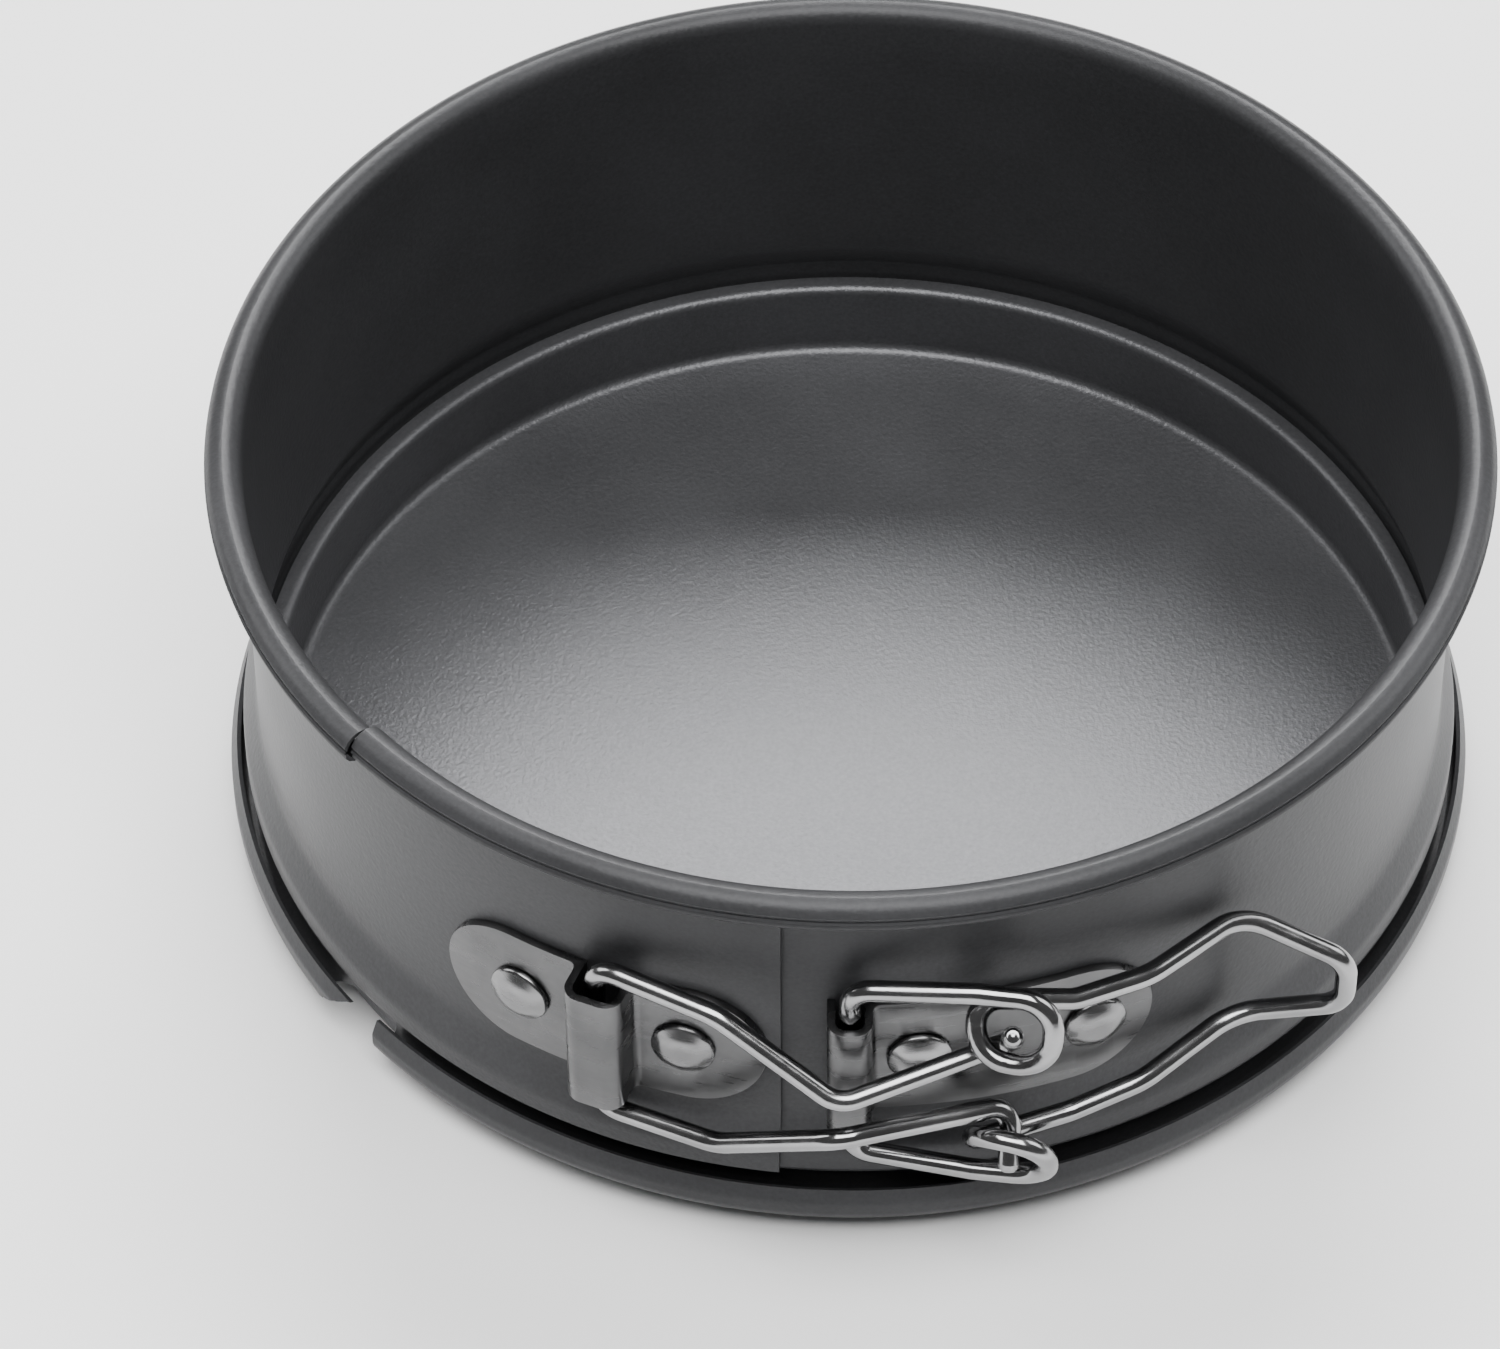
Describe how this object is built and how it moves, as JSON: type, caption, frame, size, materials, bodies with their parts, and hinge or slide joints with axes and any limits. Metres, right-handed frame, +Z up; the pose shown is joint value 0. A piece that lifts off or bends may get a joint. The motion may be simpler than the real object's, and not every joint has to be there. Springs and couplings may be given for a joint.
{
  "type": "springform pan",
  "caption": "Round baking pan with a removable shallow base gripped by a two-part sheet band that opens with a wire over-centre latch on its side.",
  "frame": {"origin": "on the pan's axis, at the underside of the base that it stands on", "axes": "+Z up along the pan's axis; -Y towards the latch; +X to the right as the latch is faced"},
  "size_m": [0.1147, 0.12, 0.0444],
  "materials": {
    "band_coating": "satin dark grey non-stick coating with a fine pebbled texture",
    "base_coating": "satin dark grey non-stick coating, slightly smoother than the band",
    "plated_sheet": "dull plated steel sheet with light handling scratches",
    "rivet_metal": "smooth domed steel rivets, lightly scratched",
    "bright_wire": "bright nickel-plated round spring wire"
  },
  "bodies": {
    "root": {"base_pan": "base_coating", "band_right": "band_coating", "lever_plate": "plated_sheet", "lever_rivet_left": "rivet_metal", "lever_rivet_right": "rivet_metal"},
    "band_side": {"band_left": "band_coating", "catch_plate": "plated_sheet", "catch_rivet_left": "rivet_metal", "catch_rivet_right": "rivet_metal"},
    "lever": {"lever_wire": "bright_wire"},
    "link": {"link_wire": "bright_wire"}
  },
  "joints": [
    {"name": "lever_swing", "type": "hinge", "parent": "root", "child": "lever", "pos_m": [0.0002, -0.0564, 0.0228], "axis": [0, 0, -1], "range_deg": [0, 60]},
    {"name": "link_swing", "type": "hinge", "parent": "lever", "child": "link", "pos_m": [0.01197, -0.05915, 0.0228], "axis": [0, 0, 1], "range_deg": [0, 41.26]},
    {"name": "band_spread", "type": "hinge", "parent": "root", "child": "band_side", "pos_m": [0, 0.0574, 0.0228], "axis": [0, 0, -1], "range_deg": [0, 2.5]}
  ],
  "couplings": [
    {"joint": "link_swing", "follows": "lever_swing", "ratio": 0.6793},
    {"joint": "band_spread", "follows": "lever_swing", "ratio": 0.0408}
  ]
}
